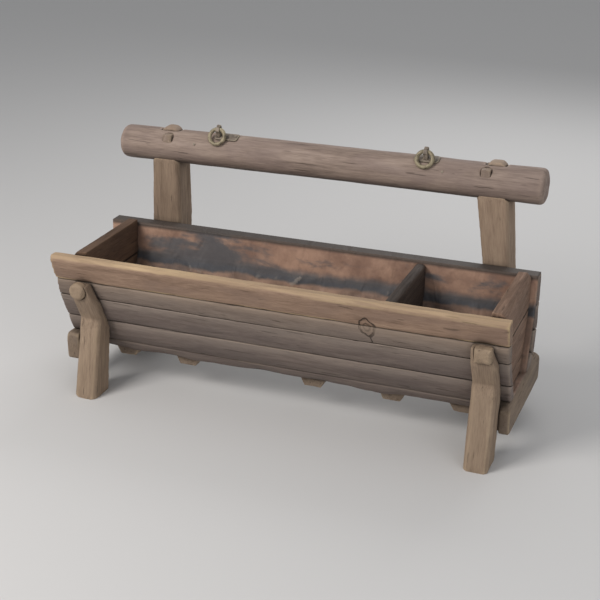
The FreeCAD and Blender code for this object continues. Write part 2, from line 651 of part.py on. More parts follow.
def build():
    fill_sheet()
    front_planks = front_wall()
    back_planks = back_wall()
    sole()
    trough_liner()
    cross_boards(inside_space())
    sill("left_sill", "-sill_outer_x", "-sill_inner_x")
    right_sill = sill("right_sill", "sill_inner_x", "sill_outer_x")
    notch = rectangle(right_sill, "XY_Plane", ("0", "sill_front_y"), ("sill_notch", "sill_notch_back_y"))
    cut(right_sill, notch)
    above = "sill_top_z + 1"
    nose = polygon(right_sill, "YZ_Plane", [("sill_front_y - 1", "sill_nose_z"), ("sill_front_y - 1", above),
                                            ("sill_nose_y", above), ("sill_nose_y", "sill_top_z")])
    cut(right_sill, nose)
    beside = "sill_outer_x - sill_inner_x + 1"
    bevel = [(beside, "sill_top_z - sill_bevel - 1"), (beside, above), (f"{beside} - sill_bevel - 2", above)]
    cut(right_sill, polygon(right_sill, "XZ_Plane", bevel))
    for number, x in enumerate(BEARER_POSITIONS, start=1):
        bearer(number, x)
    tie_rail()
    for side, head in (("left", round_head), ("right", square_head)):
        front_leg(side, head)
        leg_peg(side, head)
        peg_at = (f"{side}_leg_peg_x", "leg_peg_z")
        peg_hole = circle(front_planks[1], "XZ_Plane", "leg_peg_radius", peg_at, "0 - leg_peg_seat_y")
        cut(front_planks[1], peg_hole, "leg_peg_reach")
        rear_post(side)
        post_peg(side)
        cut(back_planks[0], circle(back_planks[0], "XZ_Plane", "post_peg_radius",
                                   (post_peg_middle(side), "post_peg_z")))
        rail_peg(side)
        ring_plate(side)
        ring_eye(side)
        tie_ring(side)
    rail_nails()
    doc.recompute()


def check():
    for item in doc.Objects:
        if "Invalid" in item.State or "Error" in item.State:
            raise RuntimeError(f"{item.Label}: {item.State}")
    for piece in subparts:
        if piece.Shape.isNull() or not piece.Shape.isValid():
            raise RuntimeError(f"{piece.Label}: its shape is not valid")


def write():
    os.makedirs(OUT_DIR, exist_ok=True)
    for piece in subparts:
        piece.Shape.exportStep(os.path.join(OUT_DIR, f"{piece.Label}.step"))


build()
check()
write()
print(len(subparts), "sub-parts")
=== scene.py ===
"""Looks of a timber feed trough, its liner, tie rail and rings, around the CAD frame.

Metres, Z up. X runs along the trough, +Y to the back. Each CAD node gets a copy with small
even faces, rounded edges and rough surfaces; the liner is swept anew along its own outline.
"""
import json
import math

import bmesh
import bpy
import numpy as np
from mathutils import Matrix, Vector, noise
from mathutils.bvhtree import BVHTree


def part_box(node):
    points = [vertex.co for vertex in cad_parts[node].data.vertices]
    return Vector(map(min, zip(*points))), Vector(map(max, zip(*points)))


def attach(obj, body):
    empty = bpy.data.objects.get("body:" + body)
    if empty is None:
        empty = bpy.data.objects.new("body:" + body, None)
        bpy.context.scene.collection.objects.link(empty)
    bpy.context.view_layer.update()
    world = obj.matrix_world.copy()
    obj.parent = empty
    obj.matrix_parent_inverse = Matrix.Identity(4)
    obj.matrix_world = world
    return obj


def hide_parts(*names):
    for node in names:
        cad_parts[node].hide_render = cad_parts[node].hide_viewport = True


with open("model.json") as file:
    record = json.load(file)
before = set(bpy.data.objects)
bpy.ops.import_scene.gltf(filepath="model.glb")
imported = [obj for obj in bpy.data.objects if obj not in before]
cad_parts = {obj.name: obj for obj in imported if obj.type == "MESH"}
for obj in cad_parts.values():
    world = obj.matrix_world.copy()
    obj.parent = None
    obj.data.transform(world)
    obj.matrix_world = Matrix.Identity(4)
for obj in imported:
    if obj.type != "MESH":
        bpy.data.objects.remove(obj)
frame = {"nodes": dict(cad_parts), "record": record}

SCENE = bpy.context.scene
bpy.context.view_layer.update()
BODIES = frame["record"]["behaviour"]["bodies"]
BODY_OF = {node: body for body, nodes in BODIES.items() for node in nodes}
STILL_BODY = BODY_OF["tie_rail"]
COARSER = 1
SHEET_STEP = 0.006
SHELTER_RAYS = 9
SHELTER_REACH = 0.07
SHELTER_LIFT = 0.004


# ------------------------------------------------------------------------------ shader building

class Shader:
    """A material under construction; every helper returns an output socket."""

    def __init__(self, name):
        self.material = bpy.data.materials.new(name)
        self.material.use_nodes = True
        self.tree = self.material.node_tree
        self.surface = self.tree.nodes["Principled BSDF"]

    def node(self, kind, values=(), **settings):
        made = self.tree.nodes.new(f"ShaderNode{kind}")
        for key, value in settings.items():
            setattr(made, key, value)
        for socket, value in values:
            if isinstance(value, bpy.types.NodeSocket):
                self.tree.links.new(value, made.inputs[socket])
            else:
                made.inputs[socket].default_value = value
        return made

    def attribute(self, name, output="Fac"):
        return self.node("Attribute", attribute_name=name).outputs[output]

    def place(self):
        return self.node("TexCoord").outputs["Object"]

    def scaled(self, vector, scale):
        return self.node("VectorMath", [(0, vector), (1, scale)], operation="MULTIPLY").outputs[0]

    def noise(self, vector, scale=1.0, detail=3.0, rough=0.5, distortion=0.0):
        values = [("Vector", vector), ("Scale", scale), ("Detail", detail), ("Roughness", rough),
                  ("Distortion", distortion)]
        return self.node("TexNoise", values).outputs["Fac"]

    def math(self, operation, a, b=0.0, clamp=False):
        return self.node("Math", [(0, a), (1, b)], operation=operation, use_clamp=clamp).outputs[0]

    def between(self, value, low, high, start=0.0, end=1.0):
        """A smooth step from start to end while value goes from low to high."""
        values = [("Value", value), ("From Min", low), ("From Max", high), ("To Min", start),
                  ("To Max", end)]
        return self.node("MapRange", values, interpolation_type="SMOOTHSTEP").outputs["Result"]

    def mix(self, factor, a, b, blend="MIX"):
        made = self.node("Mix", data_type="RGBA", blend_type=blend)
        for index, value in ((0, factor), (6, a), (7, b)):
            if isinstance(value, bpy.types.NodeSocket):
                self.tree.links.new(value, made.inputs[index])
            else:
                made.inputs[index].default_value = value
        return made.outputs[2]

    def ramp(self, value, *stops):
        made = self.node("ValToRGB", [("Fac", value)])
        elements = made.color_ramp.elements
        while len(elements) < len(stops):
            elements.new(0.5)
        for element, (position, colour) in zip(elements, stops):
            element.position = position
            element.color = colour
        return made.outputs["Color"]

    def axis(self, vector, name):
        return self.node("SeparateXYZ", [(0, vector)]).outputs[name]

    def finish(self, colour, roughness, height, depth):
        self.tree.links.new(colour, self.surface.inputs["Base Color"])
        self.tree.links.new(roughness, self.surface.inputs["Roughness"])
        bump = self.node("Bump", [("Strength", 1.0), ("Distance", depth), ("Height", height)])
        self.tree.links.new(bump.outputs[0], self.surface.inputs["Normal"])
        return self.material


def rgb(text):
    """A linear colour from an sRGB hex triple."""
    parts = [int(text[i:i + 2], 16) / 255 for i in (0, 2, 4)]
    return (*[c / 12.92 if c < 0.04045 else ((c + 0.055) / 1.055) ** 2.4 for c in parts], 1.0)


# Painted light for the courses' upper edges, painted shade for their lower edges, cracks, and soot
# with painted shade for sheltered corners.
COURSE_TOP_LIGHT = "d2c2b0"
COURSE_FOOT_SHADE = "3d3430"
CRACK = "33291f"
SOOT_AND_SHADE = "17120f"
RAMP_SPAN = 1.5


def wood(name, dark, middle, light, tint, edge, rough=0.8, grime_and_shade=0.7, tint_share=0.6, worn=0.5,
         mark=None, top=None):
    """Weathered timber: streaks and fibres along the grain, tinted patches, drying cracks,
    pale worn edges that are partly a painted highlight, and soiling with painted shade in the
    corners. Upper parts differ by top: (height, softness, colour, stops of its share along X); on
    the rim's top this holds a painted highlight and on the legs' upper arms painted shade. Courses
    are paler towards their upper edge and darker towards their lower edge, as painted light and
    painted shade."""
    s = Shader(name)
    grain = s.attribute("grain", "Vector")
    streaks = s.noise(s.scaled(grain, (4.5, 42, 42)), detail=5, rough=0.6, distortion=0.9)
    fibres = s.noise(s.scaled(grain, (26, 330, 330)), detail=5, rough=0.62)
    patches = s.noise(s.scaled(grain, (4.2, 11, 11)), detail=4, rough=0.55, distortion=0.6)
    cracks = s.noise(s.scaled(grain, (9, 120, 120)), detail=3, rough=0.45, distortion=0.3)
    mixed = s.math("ADD", s.math("MULTIPLY", streaks, 0.58), s.math("MULTIPLY", fibres, 0.42))
    colour = s.ramp(mixed, (0.3, rgb(dark)), (0.5, rgb(middle)), (0.7, rgb(light)))
    colour = s.mix(s.between(patches, 0.42, 0.66, 0.0, tint_share), colour, rgb(tint))
    crack = s.between(cracks, 0.67, 0.71)
    colour = s.mix(s.math("MULTIPLY", crack, 0.42), colour, rgb(CRACK))
    height = s.math("SUBTRACT", mixed, s.math("MULTIPLY", crack, 0.5))
    if mark:
        line, colour = mark(s, colour)
        height = s.math("SUBTRACT", height, line)
    wear = s.math("MULTIPLY", s.attribute("wear"), s.between(patches, 0.4, 0.62, 0.35, 1.0))
    # Edges paler towards the edge colour: partly real wear, partly a painted highlight along the
    # arrises.
    colour = s.mix(s.between(wear, 0.15, 0.9, 0.0, worn), colour, rgb(edge))
    # Upper parts in another colour: wear with a painted highlight on the rim's top, painted shade on
    # the legs' upper arms, plain colour elsewhere.
    if top:
        level, softness, pale, stops = top
        wander = s.math("MULTIPLY", s.math("SUBTRACT", patches, 0.5), 0.008)
        ragged = s.math("ADD", s.axis(s.place(), "Z"), wander)
        along = s.math("ADD", s.math("MULTIPLY", s.axis(s.place(), "X"), 1 / RAMP_SPAN), 0.5)
        share = s.ramp(along, *[(x / RAMP_SPAN + 0.5, (value, value, value, 1))
                                for x, value in stops])
        face = s.math("MULTIPLY", s.between(ragged, level - softness, level + softness), share)
        face = s.math("MULTIPLY", face, s.between(streaks, 0.38, 0.6, 0.65, 1.0))
        colour = s.mix(face, colour, s.mix(fibres, rgb(pale), rgb(light)))
    blotches = s.math("MULTIPLY", s.math("SUBTRACT", patches, 0.5), 0.9)
    # Painted light towards each course's upper edge and painted shade towards its lower edge, broken
    # up by blotches.
    crown = s.math("ADD", s.attribute("crown"), blotches)
    colour = s.mix(s.between(crown, 0.0, 0.9, 0.0, 0.14), colour, rgb(COURSE_TOP_LIGHT))
    colour = s.mix(s.between(crown, -0.9, 0.0, 0.2, 0.0), colour, rgb(COURSE_FOOT_SHADE))
    # Sheltered corners darkened towards soot: soiling and painted shade.
    dirt_and_shade = s.math("MULTIPLY", s.attribute("grime_and_shade"), s.between(patches, 0.3, 0.7, 1.15, 0.8))
    colour = s.mix(s.between(dirt_and_shade, 0.15, 0.9, 0.0, grime_and_shade), colour, rgb(SOOT_AND_SHADE))
    roughness = s.between(mixed, 0.35, 0.65, rough + 0.08, rough - 0.1)
    s.surface.inputs["Specular IOR Level"].default_value = 0.3
    return s.finish(colour, roughness, height, 0.0022)


def knot_mark(centre, radii, wandering=1.1, split_lean=0.03):
    """A natural knot: a wandering dark outline with a heart check, and a short split below it."""
    def draw(s, colour):
        offset = s.node("VectorMath", [(0, s.place()), (1, centre)], operation="SUBTRACT").outputs[0]
        wander = s.noise(s.place(), scale=38, detail=2)
        flat = s.scaled(offset, (1 / radii[0], 0, 1 / radii[1]))
        distance = s.node("VectorMath", [(0, flat)], operation="LENGTH").outputs["Value"]
        uneven = s.math("MULTIPLY", s.math("SUBTRACT", wander, 0.5), wandering)
        distance = s.math("ADD", distance, uneven)
        ring = s.between(s.math("ABSOLUTE", s.math("SUBTRACT", distance, 1.0)), 0.06, 0.2, 1.0, 0.0)
        heart = s.between(s.math("ABSOLUTE", s.math("SUBTRACT", distance, 0.42)), 0.04, 0.16, 0.6, 0.0)
        lean = s.math("MULTIPLY", wander, split_lean)
        split_x = s.math("ABSOLUTE", s.math("SUBTRACT", s.axis(offset, "X"), lean))
        below = s.between(s.axis(offset, "Z"), -0.028, -0.012, 1.0, 0.0)
        near = s.between(s.axis(offset, "Z"), -0.055, -0.045, 0.0, 1.0)
        split = s.math("MULTIPLY", s.between(split_x, 0.001, 0.003, 1.0, 0.0),
                       s.math("MULTIPLY", below, near))
        line = s.math("MAXIMUM", s.math("MAXIMUM", ring, heart), split)
        inside = s.between(distance, 0.8, 1.1, 0.35, 0.0)
        colour = s.mix(inside, colour, rgb("7b6655"))
        return line, s.mix(s.math("MULTIPLY", line, 0.8), colour, rgb("2b221c"))
    return draw


def sheet_metal(name, knee_z, fold_z, rim_z):
    """Old sheet: grey-blue zinc with copper-brown stains above and below a fold, dark at the rim.
    Painted shade darkens it below the knee and along the fold, painted light brightens it above the
    knee, and sheltered corners darken with soiling and painted shade.
    """
    s = Shader(name)
    place = s.place()
    height = s.axis(place, "Z")
    along = s.scaled(place, (5, 5, 11))
    clouds = s.noise(along, scale=1.0, detail=5, rough=0.6, distortion=0.35)
    edges = s.noise(place, scale=13, detail=4, rough=0.6)
    grit = s.noise(place, scale=190, detail=3)
    level = s.math("ADD", height, s.math("MULTIPLY", s.math("SUBTRACT", edges, 0.5), 0.035))
    # Painted shade below the knee, where the sheet faces up into the light, and painted light above
    # it, where it stands upright.
    knee = s.between(height, knee_z - 0.006, knee_z + 0.006)
    blue = s.mix(knee, s.mix(clouds, rgb("3f3e43"), rgb("595451")),
                 s.mix(clouds, rgb("58575b"), rgb("79726e")))
    copper = s.mix(s.between(edges, 0.3, 0.7), rgb("977562"), rgb("c09a82"))
    brown = s.mix(s.between(edges, 0.3, 0.7), rgb("765f51"), rgb("a3836e"))
    share = s.math("SUBTRACT", s.between(s.axis(place, "X"), -0.5, 0.0, 0.09, -0.06),
                   s.between(level, rim_z - 0.045, rim_z - 0.025, 0.0, 0.09))
    stain = s.math("MULTIPLY", s.between(s.math("SUBTRACT", clouds, share), 0.38, 0.56),
                   s.math("MULTIPLY", s.between(level, fold_z + 0.012, fold_z + 0.040),
                          s.between(s.axis(place, "Y"), 0.139, 0.145, 1.0, 0.0)))
    colour = s.mix(s.math("MULTIPLY", stain, 0.88), blue, copper)
    lower = s.math("MULTIPLY", s.between(level, fold_z - 0.016, fold_z - 0.004, 1.0, 0.0),
                   s.between(clouds, 0.36, 0.5, 0.45, 0.95))
    colour = s.mix(lower, colour, brown)
    # A dark line painted along the fold as the shade in its crease.
    fold = s.between(s.math("ABSOLUTE", s.math("SUBTRACT", level, fold_z)), 0.002, 0.010, 0.5, 0.0)
    colour = s.mix(fold, colour, rgb("43464d"))
    ragged = s.math("ADD", height, s.math("MULTIPLY", clouds, 0.01))
    rim = s.between(ragged, rim_z - 0.011, rim_z + 0.001)
    colour = s.mix(s.math("MULTIPLY", rim, 0.92), colour, s.mix(clouds, rgb("39322d"), rgb("554b44")))
    wear = s.math("MULTIPLY", s.attribute("wear"), s.between(edges, 0.45, 0.65, 0.1, 1.0))
    wear = s.math("MULTIPLY", wear, s.between(rim, 0.0, 0.5, 1.0, 0.2))
    colour = s.mix(s.between(wear, 0.3, 0.9, 0.0, 0.4), colour, rgb("a0968a"))
    # Sheltered corners of the sheet darkened: soiling and painted shade.
    colour = s.mix(s.between(s.attribute("grime_and_shade"), 0.35, 1.0, 0.0, 0.6), colour, rgb("1d1a18"))
    s.surface.inputs["Metallic"].default_value = 0.12
    roughness = s.math("ADD", s.between(stain, 0.0, 1.0, 0.6, 0.68), s.math("MULTIPLY", grit, 0.12))
    buckles = s.noise(s.scaled(place, (17, 6, 8)), scale=1.0, detail=2, rough=0.4, distortion=1.2)
    bumps = s.math("ADD", s.math("MULTIPLY", edges, 0.35), s.math("MULTIPLY", grit, 0.06))
    bumps = s.math("ADD", bumps, s.math("MULTIPLY", buckles, 1.3))
    return s.finish(colour, roughness, bumps, 0.006)


def iron(name, dark, middle, light):
    """Hand-forged iron: hammer marks, patches of brown rust, bare metal on the edges, and soiling with
    painted shade in the hollows.
    """
    s = Shader(name)
    place = s.place()
    rust = s.noise(place, scale=60, detail=5, rough=0.65)
    hammer = s.noise(place, scale=140, detail=2)
    pits = s.noise(place, scale=520, detail=3, rough=0.7)
    colour = s.ramp(rust, (0.38, rgb(dark)), (0.5, rgb(middle)), (0.63, rgb(light)))
    colour = s.mix(s.between(s.attribute("wear"), 0.25, 0.85, 0.0, 0.7), colour, rgb("a89d86"))
    # Sheltered hollows darkened: soiling and painted shade.
    colour = s.mix(s.between(s.attribute("grime_and_shade"), 0.3, 0.95, 0.0, 0.7), colour, rgb("1a1511"))
    s.surface.inputs["Metallic"].default_value = 0.3
    roughness = s.between(rust, 0.35, 0.65, 0.45, 0.7)
    bumps = s.math("ADD", s.math("MULTIPLY", hammer, 0.7), s.math("MULTIPLY", pits, 0.3))
    return s.finish(colour, roughness, bumps, 0.0009)


# -------------------------------------------------------------------------------- mesh building

def link(name, mesh):
    piece = bpy.data.objects.new(name, mesh)
    SCENE.collection.objects.link(piece)
    return piece


def evenly_meshed(node, voxel):
    """A copy of a CAD node with small even faces; its sharp edges come out slightly rounded."""
    piece = link(f"{node}_worn", frame["nodes"][node].data.copy())
    remesh = piece.modifiers.new("even", "REMESH")
    remesh.mode = "VOXEL"
    remesh.voxel_size = voxel
    graph = bpy.context.evaluated_depsgraph_get()
    mesh = bpy.data.meshes.new_from_object(piece.evaluated_get(graph))
    piece.modifiers.clear()
    piece.data = mesh
    return piece


class Surface:
    """A mesh's points and edges as arrays."""

    def __init__(self, mesh):
        self.mesh = mesh
        self.points = np.zeros((len(mesh.vertices), 3))
        mesh.vertices.foreach_get("co", self.points.reshape(-1))
        flat = np.zeros(len(mesh.edges) * 2, int)
        mesh.edges.foreach_get("vertices", flat)
        self.edges = flat.reshape(-1, 2)
        self.degree = np.bincount(flat, minlength=len(self.points)).clip(1)

    def average(self, values):
        """Each value's mean over its neighbours."""
        a, b = self.edges.T
        columns = values.reshape(len(values), -1).T
        sums = [np.bincount(a, column[b], len(values)) + np.bincount(b, column[a], len(values))
                for column in columns]
        return (np.array(sums) / self.degree).T.reshape(values.shape)

    def smoothed(self, values, rounds):
        """The values, each moved half way to its neighbours' mean, some rounds over."""
        for _ in range(rounds):
            values = 0.5 * values + 0.5 * self.average(values)
        return values

    def store(self):
        self.mesh.vertices.foreach_set("co", self.points.astype(np.float32).reshape(-1))
        self.mesh.update()

    def normals(self):
        flat = np.zeros(len(self.points) * 3, np.float32)
        self.mesh.vertices.foreach_get("normal", flat)
        return flat.reshape(-1, 3).astype(float)

    def attribute(self, name, values):
        kind, key = ("FLOAT_VECTOR", "vector") if values.ndim == 2 else ("FLOAT", "value")
        made = self.mesh.attributes.new(name, kind, "POINT")
        made.data.foreach_set(key, values.astype(np.float32).reshape(-1))


FIELD_SHIFT = 17.3
GRAIN_SHIFT = 3.7
BANDS = 24


def field(points, scale, seed):
    """Smooth noise from -1 to 1 at the points, each axis scaled by its own factor."""
    shifted = points * np.array(scale) + seed * FIELD_SHIFT
    return np.array([noise.noise(p) for p in shifted.tolist()])


def grain_places(points, axis, seed):
    """Coordinates with the first one along the timber. An upright's other two are measured from
    its own centre line, found band by band, because it leans and tapers."""
    order = {"X": (0, 1, 2), "Y": (1, 0, 2), "Z": (2, 0, 1)}[axis]
    places = points[:, order].copy()
    if axis == "Z":
        along = places[:, 0]
        limits = np.linspace(along.min(), along.max(), BANDS)
        band_of = np.clip(np.digitize(along, limits), 1, BANDS - 1)
        for column in (1, 2):
            middles = []
            for band in range(1, BANDS):
                across = places[band_of == band, column]
                middles.append((across.min() + across.max()) / 2 if len(across) else 0.0)
            places[:, column] -= np.interp(along, (limits[1:] + limits[:-1]) / 2, middles)
    return places + seed * GRAIN_SHIFT


def still_faces():
    """A search tree of the faces of every CAD node that doesn't move."""
    points, faces = [], []
    for node, cad in frame["nodes"].items():
        if BODY_OF[node] == STILL_BODY:
            faces += [[len(points) + i for i in face.vertices] for face in cad.data.polygons]
            points += [tuple(v.co) for v in cad.data.vertices]
    return BVHTree.FromPolygons(points, faces)


STILL_FACES = still_faces()
GOLDEN_ANGLE = 2.39996


def directions(count):
    """Unit directions over a half sphere about +Z, denser near the pole."""
    found = []
    for i in range(count):
        turn = i * GOLDEN_ANGLE
        radius = math.sqrt((i + 0.5) / count)
        rise = math.sqrt(1 - radius ** 2)
        found.append(Vector((radius * math.cos(turn), radius * math.sin(turn), rise)))
    return found


def sheltered(surface, normals):
    """How much of the sky over each point is closed by a still piece nearby, from 0 to 1."""
    rays = directions(SHELTER_RAYS)
    found = np.zeros(len(surface.points))
    for i, (point, normal) in enumerate(zip(surface.points.tolist(), normals.tolist())):
        up = Vector(normal)
        turn = up.to_track_quat("Z", "X")
        start = Vector(point) + up * SHELTER_LIFT
        hits = sum(STILL_FACES.ray_cast(start, turn @ ray, SHELTER_REACH)[0] is not None
                   for ray in rays)
        found[i] = hits / len(rays)
    return surface.smoothed(found, 2)


def weather(piece, axis, seed, wave=0.0012, hew=0.0006, rounding=2, worn_at=0.0016, under=0.0,
            course=False, seams=(), moves=False, shape=None):
    """Round a piece's edges, roughen its faces and record its grain, wear, crown and the darkening of
    sheltered corners (soiling and painted shade) for the shader. wave and hew are the depths of slow
    and quick unevenness, worn_at is the bulge of a fully worn edge. under paints shade on faces that
    look down, course marks a plank for painted light along its upper edge and painted shade along
    its lower edge, seams are the heights of open joints in its faces, what moves has no sheltered
    corners, and shape moves points of its own accord."""
    surface = Surface(piece.data)
    surface.points = surface.smoothed(surface.points, rounding)
    surface.store()
    normals = surface.normals()
    places = grain_places(surface.points, axis, seed)
    core = surface.smoothed(surface.points, 8)
    bulge = np.einsum("ij,ij->i", surface.points - core, normals)
    wear = np.clip(bulge / worn_at, 0, 1)
    push = wave * field(places, (3.0, 9, 9), seed) + hew * field(places, (14, 46, 46), seed + 5)
    chips = np.clip(field(places, (26, 26, 26), seed + 9) - 0.15, 0, 1)
    push -= 0.004 * wear * chips * min(1.0, wave / 0.001)
    surface.points += normals * push[:, None]
    if shape:
        shape(surface.points, normals)
    surface.store()
    surface.attribute("grain", places)
    surface.attribute("wear", wear)
    normals = surface.normals()
    # Sheltered corners are darkened as soiling and painted shade, faces that look down as painted
    # shade, and open joints as dark seams.
    grime_and_shade = np.zeros(len(normals)) if moves else sheltered(surface, normals)
    grime_and_shade += under * np.clip(-normals[:, 2] - 0.15, 0, 1)
    for height in seams:
        grime_and_shade += np.clip(1.3 - np.abs(surface.points[:, 2] - height) / 0.0035, 0, 1)
    surface.attribute("grime_and_shade", grime_and_shade)
    # Height within the course, for painted light at its upper edge and painted shade at its lower
    # edge.
    if course:
        heights = surface.points[:, 2]
        surface.attribute("crown", 2 * (heights - heights.min()) / np.ptp(heights) - 1)
    piece.data.shade_smooth()
    return piece


def settle(piece, node, material):
    """Give a finished piece its material and body, and hide the CAD node it stands for."""
    piece.data.materials.clear()
    piece.data.materials.append(material)
    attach(piece, BODY_OF[node])
    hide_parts(node)


# -------------------------------------------------------------------------------------- timbers

MARK = knot_mark((0.296, -0.225, 0.359), (0.024, 0.025))
# The rim's top bevel in pale cream: partly worn wood, partly a painted highlight, strongest over the
# left third.
RIM_TOP_WEAR_AND_HIGHLIGHT = (0.4315, 0.003, "dcc093",
            ((-0.66, 0.5), (-0.5, 0.85), (-0.42, 1.0), (-0.3, 0.95), (-0.12, 0.5), (0.3, 0.55),
             (0.7, 0.7)))
# The legs' upper arms, which follow the sloping wall, painted darker as shade, more on the left leg.
ARM_PAINTED_SHADE = (0.262, 0.012, "65564b", ((-0.5, 0.8), (0.5, 0.3)))
RIM = wood("rim wood", "6c5748", "8f7664", "a58b75", "806a5d", "cbb287", 0.78, worn=0.6,
           mark=MARK, top=RIM_TOP_WEAR_AND_HIGHLIGHT)
UNDER_RIM = (0.345, 0.016, "96826f", ((-0.5, 0.55), (0.5, 0.7)))
SECOND = wood("second course wood", "655850", "7b6d63", "8c7d71", "6f635c", "9a8a7b", 0.82,
              mark=MARK, top=UNDER_RIM)
WALL = wood("wall wood", "5d514b", "776a63", "887a70", "6a5f5a", "948474", 0.82)
SOLE = wood("sole wood", "4f443b", "6b5e52", "7f7161", "5f544c", "8b7a66", 0.85)
LEG = wood("leg wood", "6f5c4c", "917d6a", "aa947d", "84715e", "c2ab8e", 0.8, tint_share=0.4,
           top=ARM_PAINTED_SHADE)
SILL = wood("sill wood", "665849", "837262", "968472", "74665a", "ad9a80", 0.82)
RAIL = wood("rail wood", "6d5e55", "928074", "ab988b", "7d6c66", "bfa897", 0.7, tint_share=0.5)
FLUSH = wood("rail peg wood", "6d5e55", "94826f", "ab988b", "7d6c66", "bfa897", 0.7, grime_and_shade=0.3,
             tint_share=0.5)
TENON = (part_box("tie_rail")[1].z - 0.006, 0.002, "8f7d72", ((-0.5, 1.0), (0.5, 1.0)))
# Two copies of the post wood; the right one is painted lighter, as painted light.
LEFT_POST = wood("left post wood", "6c5a4b", "8b7765", "a08a74", "7d6a58", "b5a086", 0.8,
                 tint_share=0.4, top=TENON)
RIGHT_POST_PAINTED_LIGHTER = wood("right post wood painted lighter", "7c6858", "9c8672", "b19b84", "8c7763", "c6af92", 0.8,
                  tint_share=0.4, top=TENON)
PEG = wood("peg wood", "7a6857", "9a8670", "ab967e", "8b7865", "c2ab8c", 0.76, tint_share=0.4)
# Two copies of the end wood; the left end, seen from inside the trough, is painted darker as painted
# shade.
LEFT_END_PAINTED_DARKER = wood("left end wood painted darker", "463629", "614b3c", "775e49", "503d31", "8f7457", 0.75,
                worn=0.4)
RIGHT_END = wood("right end wood", "59463b", "806655", "9c7f6a", "6c5545", "b0937a", 0.75,
                 worn=0.4)
DARK = wood("divider wood", "332b27", "463c36", "574b43", "3b332f", "75675b", 0.72)


def irregular_foot(points, normals):
    """The lowest course's bottom edge was left as it grew."""
    low = points[:, 2].min()
    near = np.clip(1 - (points[:, 2] - low) / 0.03, 0, 1)
    ahead = np.clip(-normals[:, 1] + 0.3, 0, 1)
    wander = field(points, (5.5, 0, 0), 3) * 0.010 + field(points, (17, 0, 0), 8) * 0.004
    points[:, 2] += near * (wander + 0.003) * (0.4 + 0.6 * ahead)


def slanted_end(reach, start=-0.55, length=0.15):
    """A course whose left end was sawn at a slant, reaching further out at the top."""
    def slant(points, normals):
        low = points[:, 2].min()
        high = points[:, 2].max()
        up = (points[:, 2] - low) / (high - low)
        beyond = np.clip((start - points[:, 0]) / length, 0, 1)
        points[:, 0] -= reach * beyond * (0.35 + 0.65 * up)
    return slant


def belly(depth):
    """A course whose outer face swells between its seams."""
    def swell(points, normals):
        low = points[:, 2].min()
        high = points[:, 2].max()
        across = (points[:, 2] - low) / (high - low)
        outward = np.clip(-normals[:, 1], 0, 1)
        points[:, 1] -= depth * outward * np.clip(4 * across * (1 - across), 0, 1)
    return swell


def timbers():
    """Node, grain axis, material, voxel and finish of every timber."""
    yield "front_rim_plank", "X", RIM, 0.004, {"shape": slanted_end(0.011), "rounding": 1}
    yield "back_rim_plank", "X", WALL, 0.005, {}
    for number, course_wood, depth in ((2, SECOND, 0.0015), (3, WALL, 0.003), (4, WALL, 0.006)):
        yield (f"front_plank_{number}", "X", course_wood, 0.004,
               {"shape": belly(depth), "rounding": 1, "course": number > 2})
        yield f"back_plank_{number}", "X", WALL, 0.005, {"course": True}
    yield "front_plank_5", "X", WALL, 0.004, {"shape": irregular_foot, "course": True}
    for number in (1, 2):
        yield f"sole_board_{number}", "X", SOLE, 0.006, {}
    for number in range(1, 6):
        yield f"bearer_{number}", "Y", SILL, 0.004, {}
    for side, post, end in (("left", LEFT_POST, LEFT_END_PAINTED_DARKER), ("right", RIGHT_POST_PAINTED_LIGHTER, RIGHT_END)):
        yield f"{side}_sill", "Y", SILL, 0.004, {"rounding": 3}
        yield f"{side}_front_leg", "Z", LEG, 0.004, {"wave": 0.0016, "hew": 0.0009}
        yield f"{side}_rear_post", "Z", post, 0.004, {"wave": 0.0016, "hew": 0.0008}
        yield f"{side}_leg_peg", "Y", PEG, 0.002, {"wave": 0.0006, "hew": 0.0005}
        yield f"{side}_post_peg", "Y", PEG, 0.002, {"wave": 0.0004, "hew": 0.0004}
        yield f"{side}_rail_peg", "Y", FLUSH, 0.002, {"wave": 0.0004, "hew": 0.0004}
        for number in (1, 2, 3):
            seams = [corner.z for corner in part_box(f"{side}_end_board_2")]
            yield f"{side}_end_board_{number}", "Y", end, 0.003, {"seams": seams}
    yield "divider_board", "Y", DARK, 0.004, {}
    # The rail's faces that look down get painted shade.
    yield "tie_rail", "X", RAIL, 0.004, {"wave": 0.0022, "hew": 0.0008, "rounding": 3, "under": 0.85}


for index, (node, axis, material, voxel, finish) in enumerate(timbers()):
    piece = evenly_meshed(node, voxel * COARSER)
    settle(weather(piece, axis, index + 1, **finish), node, material)


# ---------------------------------------------------------------------------------------- liner

def end_outline(node):
    """The closed outline of a node with one profile along X, as (y, z) points in order."""
    mesh = bmesh.new()
    mesh.from_mesh(frame["nodes"][node].data)
    bmesh.ops.remove_doubles(mesh, verts=mesh.verts, dist=1e-5)
    end = max(v.co.x for v in mesh.verts) - 1e-5
    following = {}
    for edge in mesh.edges:
        a, b = edge.verts
        if a.co.x > end and b.co.x > end and any(abs(f.normal.x) < 0.5 for f in edge.link_faces):
            following.setdefault(a, []).append(b)
            following.setdefault(b, []).append(a)
    start = min(following, key=lambda v: (v.co.y, v.co.z))
    path = [start, following[start][0]]
    while path[-1] is not start:
        ahead = [v for v in following[path[-1]] if v is not path[-2]]
        path.append(ahead[0])
    points = [(v.co.y, v.co.z) for v in path]
    mesh.free()
    return points


def subdivided(points, step):
    """Points at most a step apart along a path."""
    found = []
    for (y, z), (next_y, next_z) in zip(points, points[1:]):
        count = max(1, math.ceil(math.hypot(next_y - y, next_z - z) / step))
        found += [(y + (next_y - y) * i / count, z + (next_z - z) * i / count) for i in range(count)]
    return found


SHEET_FOLD = 0.328
SHEET_KNEE = 0.345
SHEET_MIDDLE = np.array([-0.02, 0.42])
UNDER_LIP = 0.432
BACK_SHEET = 0.132


